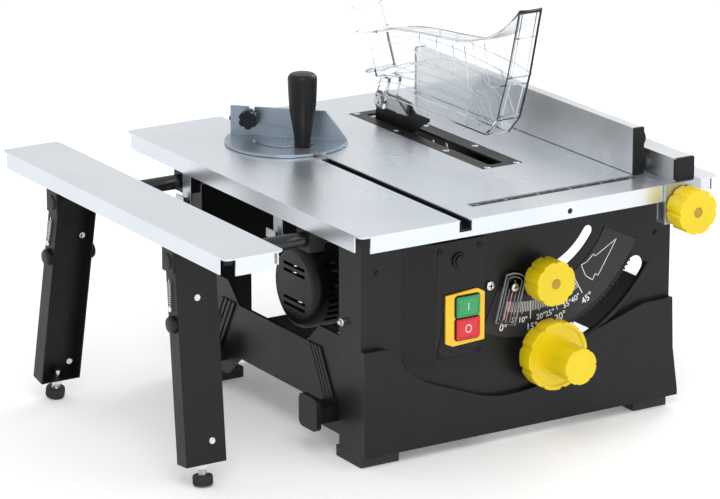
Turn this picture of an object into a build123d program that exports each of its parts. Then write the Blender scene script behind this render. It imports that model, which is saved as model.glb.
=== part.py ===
"""Benchtop table saw: sheet-metal table on an open stand, tilting and rising blade unit, clear blade guard,
rip fence, miter gauge, and a sliding table extension with folding legs. Millimetres."""

import os
from math import atan2, cos, degrees, radians, sin

from build123d import *

os.makedirs("parts", exist_ok=True)

# ---- driving dimensions -------------------------------------------------------------------------
TABLE_W = 445
TABLE_D = 490
TABLE_H = 270
SHEET = 1.5
FLANGE = 18

# Places are measured from the table's front left top corner: x to the right, y to the back, z up.
LEFT = -146.5
FRONT = -230

SLOT_X = (119.9, 130.9)
INSERT_X = (246, 298)
INSERT_Y = (151, 423)
BLADE_X = 272
BLADE_Y = 268
BLADE_R = 105
ARBOR_Z = -BLADE_R - 1
TILT_X = 248
TILT_Z = -10

BODY_X = (39, 428)
BODY_Y = (62, 434)
POST = 43
PANEL_TOP = -3
PANEL_LOW = -258
LOCK_R = 86
CRANK_R = 168
CRANK_ANGLE = 5
RACK_R = 154

EXT_X = (-152, -84)
TUBE_Y = (118, 376)
TUBE_Z = -31
TUBE_R = 8
LEG_X = (-147.5, -100.5)
LEG_PIVOT_Z = -32

MOTOR_Y = 234
MOTOR_Z = -122
ROD_X = 225
ROD_Y = (150, 350)
SCREW_Y = 118

CRANK_X = TILT_X + CRANK_R * sin(radians(CRANK_ANGLE))
CRANK_Z = TILT_Z - CRANK_R * cos(radians(CRANK_ANGLE))
LOCK_X = TILT_X + LOCK_R * sin(radians(CRANK_ANGLE))
LOCK_Z = TILT_Z - LOCK_R * cos(radians(CRANK_ANGLE))


# ---- helpers ------------------------------------------------------------------------------------
def at(x, y, z):
    """A point given from the table's corner, in the part's own frame."""
    return Vector(LEFT + x, FRONT + y, TABLE_H + z)


def block(x, y, z, mode=Mode.ADD):
    """A box between two values on each axis."""
    centre = at(sum(x) / 2, sum(y) / 2, sum(z) / 2)
    with Locations(centre):
        Box(x[1] - x[0], y[1] - y[0], z[1] - z[0], mode=mode)


def rod(start, end, radius, mode=Mode.ADD):
    """A round bar between two points."""
    low = at(*start)
    axis = at(*end) - low
    with Locations(Plane(origin=low, z_dir=axis).location):
        Cylinder(radius, axis.length, align=(Align.CENTER, Align.CENTER, Align.MIN), mode=mode)


def front(y):
    """A sketch plane across the saw, drawn in x and z; positive extrusion goes to the front."""
    return Plane(origin=at(0, y, 0), x_dir=(1, 0, 0), z_dir=(0, -1, 0))


def side(x):
    """A sketch plane along the saw, drawn in y and z; positive extrusion goes to the right."""
    return Plane(origin=at(x, 0, 0), x_dir=(0, 1, 0), z_dir=(1, 0, 0))


def level(z):
    """A horizontal sketch plane, drawn in x and y; positive extrusion goes up."""
    return Plane(origin=at(0, 0, z), x_dir=(1, 0, 0), z_dir=(0, 0, 1))


def lobed(plane, centre, radius, lobes, depth, thickness, mode=Mode.ADD):
    """A round knob body with scalloped grips around its rim."""
    with BuildSketch(plane) as outline:
        with Locations(centre):
            Circle(radius)
            with PolarLocations(radius + depth, lobes):
                Circle(depth * 2, mode=Mode.SUBTRACT)
    extrude(outline.sketch, amount=thickness, mode=mode)


def toothed(plane, centre, pitch_r, module, teeth, thickness, turn=0):
    """A spur gear with straight-sided teeth and running backlash."""
    root = pitch_r - 1.2 * module
    tip = pitch_r + 0.9 * module
    half_root = 0.98 * module
    half_tip = 0.36 * module
    with BuildSketch(plane) as outline:
        with Locations(centre):
            Circle(root + 0.05 * module)
            with PolarLocations(0, teeth, start_angle=turn):
                Polygon((root - 0.3 * module, -half_root), (tip, -half_tip), (tip, half_tip),
                        (root - 0.3 * module, half_root), align=None)
    extrude(outline.sketch, amount=thickness)


def arc_about_tilt(radius, start, end):
    """An arc about the tilt axis, with angles in degrees from straight down, positive to the right."""
    return CenterArc((TILT_X, TILT_Z), radius, start - 90, end - start)


def save(part, name):
    part.part.label = name
    export_step(part.part, f"parts/{name}.step")


# ---- table --------------------------------------------------------------------------------------
CORNER = 12
with BuildPart() as table_top:
    with BuildSketch(level(-SHEET)):
        with Locations((TABLE_W / 2, TABLE_D / 2)):
            RectangleRounded(TABLE_W, TABLE_D, 7)
    extrude(amount=SHEET)
    for y in ((0, SHEET), (TABLE_D - SHEET, TABLE_D)):
        block((CORNER, TABLE_W - CORNER), y, (-FLANGE, -SHEET))
    for x in ((0, SHEET), (TABLE_W - SHEET, TABLE_W)):
        block(x, (CORNER, TABLE_D - CORNER), (-FLANGE, -SHEET))
    block((INSERT_X[0] - 3, INSERT_X[1] + 3), (INSERT_Y[0] - 3, INSERT_Y[1] + 3), (-6, -SHEET))
    block(INSERT_X, INSERT_Y, (-3, 0), mode=Mode.SUBTRACT)
    block((INSERT_X[0] + 12, INSERT_X[1] - 10), (INSERT_Y[0] + 9, INSERT_Y[1] - 9), (-6, 0), mode=Mode.SUBTRACT)
    block(SLOT_X, (0, TABLE_D), (-SHEET, 0), mode=Mode.SUBTRACT)
    for y in ((0, SHEET), (TABLE_D - SHEET, TABLE_D)):
        block((SLOT_X[0] - 2, SLOT_X[1] + 2), y, (-12, 0), mode=Mode.SUBTRACT)
    for x in (254.5, 292):
        for y in (155.5, 236, 335, 418.5):
            rod((x, y, -6), (x, y, -3), 2, mode=Mode.SUBTRACT)
    rod((254, 0, -10), (254, SHEET, -10), 3, mode=Mode.SUBTRACT)
save(table_top, "table_top")

with BuildPart() as slot_channel:
    block((SLOT_X[0] - 1.5, SLOT_X[1] + 1.5), (0, TABLE_D), (-11, -SHEET - 0.02))
    block(SLOT_X, (0, TABLE_D), (-9.5, 0), mode=Mode.SUBTRACT)
save(slot_channel, "slot_channel")

with BuildPart() as blade_insert:
    with BuildSketch(level(-2.9)):
        with Locations((sum(INSERT_X) / 2, sum(INSERT_Y) / 2)):
            RectangleRounded(INSERT_X[1] - INSERT_X[0] - 0.6, INSERT_Y[1] - INSERT_Y[0] - 0.6, 7)
        with Locations((BLADE_X - 1, 287)):
            RectangleRounded(18, 248, 3, mode=Mode.SUBTRACT)
    extrude(amount=2.7)
    for x in (254.5, 292):
        for y in (155.5, 236, 335, 418.5):
            rod((x, y, -3), (x, y, 0), 2.2, mode=Mode.SUBTRACT)
            rod((x, y, -2), (x, y, 0), 3.6, mode=Mode.SUBTRACT)
save(blade_insert, "blade_insert")

with BuildPart() as under_fittings:
    for y, low in (((348, 363), -48), ((155, 171), -38)):
        block((SHEET + 0.02, 3.5), y, (low, -3))
        block((-7, 3.5), y, (low, low + 2))
        block((-7, -5), y, (low, low + 7))
    for y in TUBE_Y:
        for x in ((4, 22), (78, 96)):
            block(x, (y - 13, y + 13), (TUBE_Z - 12, -SHEET - 0.02))
            rod((x[0], y, TUBE_Z), (x[1], y, TUBE_Z), TUBE_R + 0.08, mode=Mode.SUBTRACT)
save(under_fittings, "under_fittings")

# ---- stand --------------------------------------------------------------------------------------
SKIRT_TOP = -143
BOX_Y = 50
BOX_Z = (-168, -38)
lock_slot = arc_about_tilt(LOCK_R, CRANK_ANGLE - 2, 57)
crank_slot = arc_about_tilt(RACK_R + 10, CRANK_ANGLE - 3, 55)
with BuildPart() as front_panel:
    block(BODY_X, (BODY_Y[0], BODY_Y[0] + SHEET), (PANEL_LOW, PANEL_TOP))
    for x in ((BODY_X[0], BODY_X[0] + SHEET), (BODY_X[1] - SHEET, BODY_X[1])):
        block(x, (BODY_Y[0], BODY_Y[0] + POST), (PANEL_LOW, PANEL_TOP))
    with BuildSketch(front(BODY_Y[0])):
        with BuildLine():
            start = Line((BODY_X[0], SKIRT_TOP), (60, SKIRT_TOP))
            smile = Spline((60, SKIRT_TOP), (76, -151), (92, -171), (150, -201), (238, -218), (322, -194), (390, -147),
                           tangents=((1, -0.1), (1, 0.3)))
            Polyline(smile @ 1, (BODY_X[1], -146), (BODY_X[1] + 2, -203), (BODY_X[1] + 9, PANEL_LOW + 6),
                     (BODY_X[1] + 9, PANEL_LOW), (BODY_X[0], PANEL_LOW), (BODY_X[0], SKIRT_TOP))
        make_face()
    extrude(amount=7)
    block((87.5, 182.5), (BODY_Y[0] - 7, BODY_Y[0]), (BOX_Z[0] - 0.3, BOX_Z[1]), mode=Mode.SUBTRACT)
    with BuildSketch(front(BODY_Y[0] + SHEET)):
        SlotArc(arc=lock_slot, height=12)
        SlotArc(arc=crank_slot, height=20)
        with Locations((sum(SLOT_X) / 2, -2)):
            Rectangle(16, 20)
        with Locations((154, -123)):
            Rectangle(36, 50)
        with Locations((TILT_X, TILT_Z)):
            Circle(5)
        with Locations((58, -62), (409, -73)):
            Circle(2)
    extrude(amount=SHEET, mode=Mode.SUBTRACT)
save(front_panel, "front_panel")

with BuildPart() as rear_panel:
    block(BODY_X, (BODY_Y[1] - SHEET, BODY_Y[1]), (PANEL_LOW, PANEL_TOP))
    for x in ((BODY_X[0], BODY_X[0] + SHEET), (BODY_X[1] - SHEET, BODY_X[1])):
        block(x, (BODY_Y[1] - POST, BODY_Y[1]), (PANEL_LOW, PANEL_TOP))
    with BuildSketch(front(BODY_Y[1])):
        with Locations((250, -190)):
            RectangleRounded(250, 70, 12)
        with Locations((TILT_X, TILT_Z)):
            Circle(5)
        with Locations((sum(SLOT_X) / 2, -2)):
            Rectangle(16, 20)
        with Locations((80, -200)):
            Circle(6)
    extrude(amount=SHEET, mode=Mode.SUBTRACT)
save(rear_panel, "rear_panel")


def stretcher(inner, outward, hooked):
    """Dog-bone side rail between the front and rear posts, with ribs and, if hooked, a cord hook at each end."""
    with BuildPart() as rail:
        with BuildSketch(side(inner)):
            Polygon((66, -138), (148, -138), (172, -161), (314, -161), (338, -138), (428, -138), (428, -246),
                    (342, -246), (314, -221), (172, -221), (144, -246), (66, -246), align=None)
        extrude(amount=-4 * outward)
        with BuildSketch(side(inner - 4 * outward)):
            for y in (125, 132, 139, 146, 339, 347, 355, 363):
                lean = -18 if y < 243 else 18
                Polygon((y - lean, -160), (y + 5 - lean, -160), (y + 5 + lean, -225), (y + lean, -225), align=None)
        extrude(amount=6 * outward)
        for y in hooked:
            block(sorted((inner - 4 * outward, inner + 22 * outward)), y, (-232, -216))
            with BuildSketch(side(inner + 22 * outward)):
                with Locations((sum(y) / 2, -222)):
                    RectangleRounded(y[1] - y[0] + 6, 36, 7)
            extrude(amount=6 * outward)
    return rail


left_stretcher = stretcher(BODY_X[0] + SHEET + 0.1, -1, ((110, 140), (346, 376)))
save(left_stretcher, "left_stretcher")
right_stretcher = stretcher(BODY_X[1] - SHEET - 0.1, 1, ())
save(right_stretcher, "right_stretcher")

with BuildPart() as base_feet:
    for x in ((BODY_X[0], BODY_X[0] + 47), (BODY_X[1] - 44, BODY_X[1])):
        for y in ((BODY_Y[0], BODY_Y[0] + 50), (BODY_Y[1] - 50, BODY_Y[1])):
            block(x, y, (-TABLE_H, PANEL_LOW - 0.02))
            rod((sum(x) / 2, sum(y) / 2, -TABLE_H), (sum(x) / 2, sum(y) / 2, PANEL_LOW), 4, mode=Mode.SUBTRACT)
save(base_feet, "base_feet")

with BuildPart() as screws:
    for x in (254.5, 292):
        for y in (155.5, 236, 335, 418.5):
            rod((x, y, -1.95), (x, y, -0.25), 3.5)
            rod((x, y, -8), (x, y, -1.95), 1.95)
            block((x - 2.4, x + 2.4), (y - 0.4, y + 0.4), (-0.8, 0), mode=Mode.SUBTRACT)
    for x in (127, 176):
        for z in (-161, -47):
            rod((x, BOX_Y + 0.1, z), (x, BOX_Y + 1.15, z), 3.3)
            rod((x, BOX_Y + 1.15, z), (x, BODY_Y[0] - 0.3, z), 1.95)
    for x, out in ((BODY_X[0], -1), (BODY_X[1], 1)):
        for y in (BODY_Y[0] + 32, BODY_Y[1] - 32):
            rod((x + 0.02 * out, y, -119), (x + 2.2 * out, y, -119), 4)
            rod((x + 2.2 * out, y, -119), (x + 7 * out, y, -119), 2.4)
    rod((196, BODY_Y[0] - 0.02, -97), (196, BODY_Y[0] - 2.5, -97), 5)
save(screws, "screws")

with BuildPart() as cord_gland:
    rod((80, BODY_Y[1] - 6, -200), (80, BODY_Y[1] + 12, -200), 5.9)
    rod((80, BODY_Y[1] + 0.02, -200), (80, BODY_Y[1] + 5, -200), 9)
    rod((80, BODY_Y[1] - 6, -200), (80, BODY_Y[1] + 12, -200), 3.6, mode=Mode.SUBTRACT)
save(cord_gland, "cord_gland")

# ---- switch -------------------------------------------------------------------------------------
with BuildPart() as switch_box:
    with BuildSketch(level(BOX_Z[0])):
        Polygon((88, BODY_Y[0] - 0.1), (121, BOX_Y), (182, BOX_Y), (182, BODY_Y[0] - 0.1), align=None)
    extrude(amount=BOX_Z[1] - BOX_Z[0])
    with BuildSketch(level(BOX_Z[0] + 2)):
        Polygon((98, BODY_Y[0]), (122, BOX_Y + 2.5), (180, BOX_Y + 2.5), (180, BODY_Y[0]), align=None)
    extrude(amount=BOX_Z[1] - BOX_Z[0] - 4, mode=Mode.SUBTRACT)
    rod((150, BOX_Y, -59), (150, BOX_Y - 2, -59), 7.5)
    rod((150, BOX_Y - 3, -59), (150, BOX_Y + 3, -59), 5.3, mode=Mode.SUBTRACT)
    block((136, 174.5), (BOX_Y - 1, BOX_Y + 3), (-148, -98), mode=Mode.SUBTRACT)
    for x in (127, 176):
        for z in (-161, -47):
            rod((x, BOX_Y - 1, z), (x, BOX_Y + 3, z), 2, mode=Mode.SUBTRACT)
            rod((x, BOX_Y - 1, z), (x, BOX_Y + 1.2, z), 3.4, mode=Mode.SUBTRACT)
save(switch_box, "switch_box")

with BuildPart() as switch_plate:
    with BuildSketch(front(BOX_Y - 0.02)):
        Polygon((133, -95), (172, -92), (181, -97), (181, -149), (142, -151), (133, -147), align=None)
        with Locations((159, -109), (159, -133)):
            Rectangle(28.6, 22.6, mode=Mode.SUBTRACT)
    extrude(amount=3)
save(switch_plate, "switch_plate")

with BuildPart() as switch_core:
    block((138, 170), (BOX_Y + 7, 96), (-146, -100))
    for z in (-114, -126):
        block((146, 150), (96, 102), (z - 3, z + 3))
save(switch_core, "switch_core")


def push_button(z):
    """Rectangular button head on a stem that enters the switch."""
    with BuildPart() as button:
        block((145, 173), (BOX_Y - 6, BOX_Y - 0.2), (z - 11, z + 11))
        block((150, 168), (BOX_Y - 0.2, BOX_Y + 4), (z - 8, z + 8))
    return button


start_button = push_button(-109)
save(start_button, "start_button")
stop_button = push_button(-133)
save(stop_button, "stop_button")

with BuildPart() as reset_button:
    rod((150, BOX_Y - 4, -59), (150, BOX_Y + 5, -59), 5.2)
save(reset_button, "reset_button")

# ---- tilt scale and rack ------------------------------------------------------------------------
with BuildPart() as tilt_scale:
    with BuildSketch(front(BODY_Y[0] - 0.02)):
        with BuildLine():
            inner = arc_about_tilt(104, -24, 64)
            outer = arc_about_tilt(150, -24, 64)
            Line(inner @ 0, outer @ 0)
            Line(inner @ 1, outer @ 1)
        make_face()
    extrude(amount=0.8)
save(tilt_scale, "tilt_scale")

TOOTH_STEP = 1.9
with BuildPart() as tilt_rack:
    with BuildSketch(front(BODY_Y[0] + SHEET + 2.52)):
        with BuildLine():
            inner = arc_about_tilt(RACK_R - 8, 2, 58)
            outer = arc_about_tilt(RACK_R, 2, 58)
            Line(inner @ 0, outer @ 0)
            Line(inner @ 1, outer @ 1)
        make_face()
        for i in range(28):
            angle = 4 + TOOTH_STEP * i
            with Locations(Location((TILT_X, TILT_Z), angle - 90)):
                Polygon((RACK_R - 0.5, -1.7), (RACK_R + 3.2, -0.7), (RACK_R + 3.2, 0.7), (RACK_R - 0.5, 1.7),
                        align=None)
    extrude(amount=2.5)
save(tilt_rack, "tilt_rack")

# ---- tilt carriage ------------------------------------------------------------------------------
PLATE_Y = (69, 73)
BACK_Y = (427, 430.5)
with BuildPart() as tilt_cradle:
    with BuildSketch(front(PLATE_Y[1])):
        Polygon((TILT_X - 32, TILT_Z + 2), (TILT_X - 5, TILT_Z + 5.5), (TILT_X + 5, TILT_Z + 5.5),
                (TILT_X + 18, TILT_Z - 12), (CRANK_X + 16, CRANK_Z + 20), (CRANK_X + 14, CRANK_Z - 14),
                (CRANK_X - 20, CRANK_Z - 16), (TILT_X - 32, -238), align=None)
        with Locations((CRANK_X, CRANK_Z)):
            Circle(5.06, mode=Mode.SUBTRACT)
        with Locations((LOCK_X, LOCK_Z)):
            Circle(3.2, mode=Mode.SUBTRACT)
    extrude(amount=PLATE_Y[1] - PLATE_Y[0])
    with BuildSketch(front(BACK_Y[1])):
        Polygon((TILT_X - 32, TILT_Z + 2), (TILT_X - 5, TILT_Z + 5.5), (TILT_X + 5, TILT_Z + 5.5),
                (TILT_X + 14, TILT_Z - 12), (TILT_X + 14, -60), (TILT_X - 8, -238), (TILT_X - 32, -238),
                align=None)
    extrude(amount=BACK_Y[1] - BACK_Y[0])
    rod((TILT_X, BODY_Y[0] - 3, TILT_Z), (TILT_X, PLATE_Y[1], TILT_Z), 4.95)
    rod((TILT_X, BACK_Y[0], TILT_Z), (TILT_X, BODY_Y[1] + 3, TILT_Z), 4.95)
    for z in ((-18, -8), (-238, -228)):
        block((ROD_X - 9, ROD_X + 9), (PLATE_Y[0], BACK_Y[1]), z)
    for z in ((-42, -36), (-206, -200)):
        block((ROD_X - 9, CRANK_X + 10), (SCREW_Y - 9, SCREW_Y + 9), z)
        rod((CRANK_X, SCREW_Y, z[0]), (CRANK_X, SCREW_Y, z[1]), 4.05, mode=Mode.SUBTRACT)
    block((ROD_X - 9, ROD_X - 3), (SCREW_Y - 9, SCREW_Y + 9), (-238, -8))
    for y in ROD_Y:
        rod((ROD_X, y, -238), (ROD_X, y, -8), 6.01, mode=Mode.SUBTRACT)
save(tilt_cradle, "tilt_cradle")

with BuildPart() as guide_rods:
    for y in ROD_Y:
        rod((ROD_X, y, -238), (ROD_X, y, -9), 6)
save(guide_rods, "guide_rods")

with BuildPart() as tilt_pointer:
    with BuildSketch(front(BODY_Y[0] - 3.2)):
        with Locations(Location((TILT_X, TILT_Z), -90 - 15)):
            Polygon((82, -13), (136, -13), (136, 13), (82, 13), (76, 0), align=None)
        with Locations((223.4, -101.8)):
            Circle(2.6, mode=Mode.SUBTRACT)
    extrude(amount=2)
save(tilt_pointer, "tilt_pointer")

pointer_path = arc_about_tilt(92, -17, CRANK_ANGLE)
with BuildPart() as pointer_arm:
    with BuildSketch(front(BODY_Y[0] - 1.4)):
        SlotArc(arc=pointer_path, height=17)
        with Locations((LOCK_X, LOCK_Z)):
            Circle(3.2, mode=Mode.SUBTRACT)
    extrude(amount=1.5)
    rod((223.4, BODY_Y[0] - 7.8, -101.8), (223.4, BODY_Y[0] - 5.3, -101.8), 5)
    rod((223.4, BODY_Y[0] - 7.8, -101.8), (223.4, BODY_Y[0] - 2, -101.8), 2.5)
save(pointer_arm, "pointer_arm")

with BuildPart() as lock_knob:
    lobed(front(BODY_Y[0] - 13), (LOCK_X, LOCK_Z), 24, 8, 1.6, 24)
    rod((LOCK_X, BODY_Y[0] - 13, LOCK_Z), (LOCK_X, BODY_Y[0] - 3.1, LOCK_Z), 11)
    rod((LOCK_X, BODY_Y[0] - 38, LOCK_Z), (LOCK_X, BODY_Y[0] - 35, LOCK_Z), 5.5, mode=Mode.SUBTRACT)
    rod((LOCK_X, BODY_Y[0] - 13, LOCK_Z), (LOCK_X, PLATE_Y[1] + 12, LOCK_Z), 3.12)
save(lock_knob, "lock_knob")

# ---- crank and lifting screw --------------------------------------------------------------------
WHEEL_Y = 48
with BuildPart() as handwheel:
    lobed(front(WHEEL_Y), (CRANK_X, CRANK_Z), 37, 9, 2, 18)
    with BuildSketch(front(WHEEL_Y - 18)):
        with Locations((CRANK_X, CRANK_Z)):
            Circle(33)
            Circle(21.5, mode=Mode.SUBTRACT)
    extrude(amount=-1.5, mode=Mode.SUBTRACT)
    lobed(front(WHEEL_Y - 10), (CRANK_X, CRANK_Z), 19.5, 7, 1, 50)
    rod((CRANK_X, WHEEL_Y - 1, CRANK_Z), (CRANK_X, WHEEL_Y + 5, CRANK_Z), 12)
    rod((CRANK_X, WHEEL_Y - 20, CRANK_Z), (CRANK_X, WHEEL_Y + 8, CRANK_Z), 5, mode=Mode.SUBTRACT)
save(handwheel, "handwheel")

with BuildPart() as crank_shaft:
    with BuildSketch(front(104)):
        with Locations((CRANK_X, CRANK_Z)):
            Circle(9)
    with BuildSketch(front(94)):
        with Locations((CRANK_X, CRANK_Z)):
            Circle(15)
    loft()
    with BuildSketch(front(104)):
        with Locations((CRANK_X, CRANK_Z)):
            with PolarLocations(12.5, 14):
                Rectangle(8, 1.6)
    extrude(amount=9.5, mode=Mode.SUBTRACT)
    rod((CRANK_X, 83, CRANK_Z), (CRANK_X, 104, CRANK_Z), 8)
    rod((CRANK_X, WHEEL_Y - 20, CRANK_Z), (CRANK_X, 84, CRANK_Z), 5)
save(crank_shaft, "crank_shaft")

with BuildPart() as lift_screw:
    with BuildSketch(level(CRANK_Z + 14.5)):
        with Locations((CRANK_X, SCREW_Y)):
            Circle(9)
    with BuildSketch(level(CRANK_Z + 24.5)):
        with Locations((CRANK_X, SCREW_Y)):
            Circle(15)
    loft()
    with BuildSketch(level(CRANK_Z + 14.5)):
        with Locations((CRANK_X, SCREW_Y)):
            with PolarLocations(12.5, 14):
                Rectangle(8, 1.6)
    extrude(amount=9.5, mode=Mode.SUBTRACT)
    rod((CRANK_X, SCREW_Y, -205), (CRANK_X, SCREW_Y, -37), 3.98)
    rod((CRANK_X, SCREW_Y, CRANK_Z + 26), (CRANK_X, SCREW_Y, -42.5), 6)
save(lift_screw, "lift_screw")

# ---- rising saw unit ----------------------------------------------------------------------------
CASE_X = (206, 260)
with BuildPart() as gear_case:
    with BuildSketch(side(CASE_X[0])):
        with Locations((BLADE_Y, ARBOR_Z)):
            Circle(40)
        with Locations((MOTOR_Y, MOTOR_Z)):
            Circle(46)
        with Locations((250, -114)):
            Rectangle(215, 24)
    extrude(amount=CASE_X[1] - CASE_X[0] - 4)
    with BuildSketch(side(CASE_X[0] + 22)):
        with Locations((BLADE_Y, ARBOR_Z)):
            Circle(36)
        with Locations((MOTOR_Y, MOTOR_Z)):
            Circle(20)
    extrude(amount=40, mode=Mode.SUBTRACT)
    for y in ROD_Y:
        rod((ROD_X, y, -134), (ROD_X, y, -94), 12)
        rod((ROD_X, y, -135), (ROD_X, y, -93), 6.06, mode=Mode.SUBTRACT)
    rod((CASE_X[0] - 1, MOTOR_Y, MOTOR_Z), (CASE_X[0] + 24, MOTOR_Y, MOTOR_Z), 12.1, mode=Mode.SUBTRACT)
    block((ROD_X + 9, CRANK_X + 11), (SCREW_Y - 11, SCREW_Y + 11), (-126, -102))
    block((ROD_X + 9, ROD_X + 19), (SCREW_Y, 150), (-126, -102))
    rod((CRANK_X, SCREW_Y, -127), (CRANK_X, SCREW_Y, -101), 6.06, mode=Mode.SUBTRACT)
    block((246, CASE_X[1] - 0.1), (352, 402), (-126, -102))
    block((CASE_X[1] - 0.1, BLADE_X - 1.05), (385, 402), (-126, -102))
save(gear_case, "gear_case")

with BuildPart() as case_cover:
    with BuildSketch(side(CASE_X[1] - 4)):
        with Locations((BLADE_Y, ARBOR_Z)):
            Circle(40)
        with Locations((MOTOR_Y, MOTOR_Z)):
            Circle(30)
        with Locations((BLADE_Y, ARBOR_Z)):
            Circle(14.05, mode=Mode.SUBTRACT)
    extrude(amount=4)
save(case_cover, "case_cover")

with BuildPart() as bearings:
    rod((CASE_X[1] - 8, BLADE_Y, ARBOR_Z), (CASE_X[1], BLADE_Y, ARBOR_Z), 14)
    rod((CASE_X[1] - 9, BLADE_Y, ARBOR_Z), (CASE_X[1] + 1, BLADE_Y, ARBOR_Z), 8.05, mode=Mode.SUBTRACT)
    rod((CASE_X[0] + 6, MOTOR_Y, MOTOR_Z), (CASE_X[0] + 14, MOTOR_Y, MOTOR_Z), 12)
    rod((CASE_X[0] + 5, MOTOR_Y, MOTOR_Z), (CASE_X[0] + 15, MOTOR_Y, MOTOR_Z), 5.05, mode=Mode.SUBTRACT)
save(bearings, "bearings")

MOTOR_R = 46
with BuildPart() as motor_housing:
    rod((96, MOTOR_Y, MOTOR_Z), (CASE_X[0] - 0.02, MOTOR_Y, MOTOR_Z), MOTOR_R)
    rod((95, MOTOR_Y, MOTOR_Z), (CASE_X[0], MOTOR_Y, MOTOR_Z), MOTOR_R - 4, mode=Mode.SUBTRACT)
    rod((120, MOTOR_Y, MOTOR_Z), (178, MOTOR_Y, MOTOR_Z), MOTOR_R - 3)
    rod((119, MOTOR_Y, MOTOR_Z), (179, MOTOR_Y, MOTOR_Z), 25, mode=Mode.SUBTRACT)
    for z in (MOTOR_Z - 30, MOTOR_Z + 30):
        rod((108, MOTOR_Y - 46, z), (108, MOTOR_Y - 28, z), 8)
save(motor_housing, "motor_housing")

with BuildPart() as motor_cap:
    rod((62, MOTOR_Y, MOTOR_Z), (95.98, MOTOR_Y, MOTOR_Z), MOTOR_R)
    fillet(motor_cap.edges().filter_by(GeomType.CIRCLE).sort_by(Axis.X)[0], 10)
    rod((66, MOTOR_Y, MOTOR_Z), (96, MOTOR_Y, MOTOR_Z), MOTOR_R - 5, mode=Mode.SUBTRACT)
    rod((65.9, MOTOR_Y, MOTOR_Z), (76, MOTOR_Y, MOTOR_Z), 12)
    rod((67, MOTOR_Y, MOTOR_Z), (77, MOTOR_Y, MOTOR_Z), 5.05, mode=Mode.SUBTRACT)
    for i in range(-4, 5):
        z = MOTOR_Z + 7.5 * i
        block((78, 94), (MOTOR_Y - MOTOR_R - 2, MOTOR_Y - 22), (z - 1.8, z + 1.8), mode=Mode.SUBTRACT)
        block((78, 94), (MOTOR_Y + 22, MOTOR_Y + MOTOR_R + 2), (z - 1.8, z + 1.8), mode=Mode.SUBTRACT)
    for i in range(-3, 4):
        z = MOTOR_Z + 7.5 * i
        if abs(i) > 1:
            block((60, 67), (MOTOR_Y - 22, MOTOR_Y + 22), (z - 1.8, z + 1.8), mode=Mode.SUBTRACT)
save(motor_cap, "motor_cap")

with BuildPart() as lower_shroud:
    with BuildSketch(side(CASE_X[1] + 0.3)):
        with Locations((BLADE_Y, ARBOR_Z)):
            Circle(BLADE_R + 5.5)
        with Locations((BLADE_Y, ARBOR_Z + 77)):
            Rectangle(260, 130, mode=Mode.SUBTRACT)
    extrude(amount=26)
    with BuildSketch(side(CASE_X[1] + 2.3)):
        with Locations((BLADE_Y, ARBOR_Z)):
            Circle(BLADE_R + 3.5)
    extrude(amount=22, mode=Mode.SUBTRACT)
    rod((CASE_X[1], BLADE_Y, ARBOR_Z), (CASE_X[1] + 30, BLADE_Y, ARBOR_Z), 26, mode=Mode.SUBTRACT)
save(lower_shroud, "lower_shroud")

with BuildPart() as riving_knife:
    with BuildSketch(side(BLADE_X - 1)):
        with BuildLine():
            Polyline((385, -126), (402, -126), (406, -60), (406, 2), (400, 30), (334, 30), (330, 19), (297, 19),
                     (297, 15))
            ThreePointArc((297, 15), (349, -25), (383, -100))
            Line((383, -100), (385, -126))
        make_face()
        with Locations((386, 21)):
            Circle(2.1, mode=Mode.SUBTRACT)
    extrude(amount=2)
save(riving_knife, "riving_knife")

with BuildPart() as guard_bracket:
    for x in ((BLADE_X - 5, BLADE_X - 1.02), (BLADE_X + 1.02, BLADE_X + 5)):
        block(x, (336, 398), (14, 28))
    rod((BLADE_X - 12, 386, 21), (BLADE_X + 12, 386, 21), 2)
save(guard_bracket, "guard_bracket")

# ---- arbor, blade and armature ------------------------------------------------------------------
GEAR_MODULE = 1.5
MESH = degrees(atan2(MOTOR_Z - ARBOR_Z, MOTOR_Y - BLADE_Y))
with BuildPart() as arbor_shaft:
    rod((CASE_X[0] + 23, BLADE_Y, ARBOR_Z), (BLADE_X + 18, BLADE_Y, ARBOR_Z), 8)
save(arbor_shaft, "arbor_shaft")

with BuildPart() as arbor_gear:
    toothed(side(CASE_X[0] + 26), (BLADE_Y, ARBOR_Z), 20 * GEAR_MODULE, GEAR_MODULE, 40, 16, MESH)
    rod((CASE_X[0] + 25, BLADE_Y, ARBOR_Z), (CASE_X[0] + 43, BLADE_Y, ARBOR_Z), 8.01, mode=Mode.SUBTRACT)
save(arbor_gear, "arbor_gear")

with BuildPart() as blade_flanges:
    for x in ((CASE_X[1] + 4, BLADE_X - 1.32), (BLADE_X + 1.32, BLADE_X + 6)):
        rod((x[0], BLADE_Y, ARBOR_Z), (x[1], BLADE_Y, ARBOR_Z), 22)
    rod((CASE_X[1] + 3, BLADE_Y, ARBOR_Z), (BLADE_X + 7, BLADE_Y, ARBOR_Z), 8.01, mode=Mode.SUBTRACT)
    with BuildSketch(side(BLADE_X + 6.05)):
        with Locations((BLADE_Y, ARBOR_Z)):
            RegularPolygon(13, 6)
            Circle(8.01, mode=Mode.SUBTRACT)
    extrude(amount=9)
save(blade_flanges, "blade_flanges")

TEETH = 24
with BuildPart() as saw_blade:
    with BuildSketch(side(BLADE_X - 0.9)):
        with Locations((BLADE_Y, ARBOR_Z)):
            Circle(BLADE_R - 7)
            with PolarLocations(BLADE_R - 7, TEETH):
                Polygon((-3, -5), (7, 4.6), (7, 6.8), (2, 8.6), (-3, 8.6), align=None)
            Circle(8.01, mode=Mode.SUBTRACT)
    extrude(amount=1.8)
save(saw_blade, "saw_blade")

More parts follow.
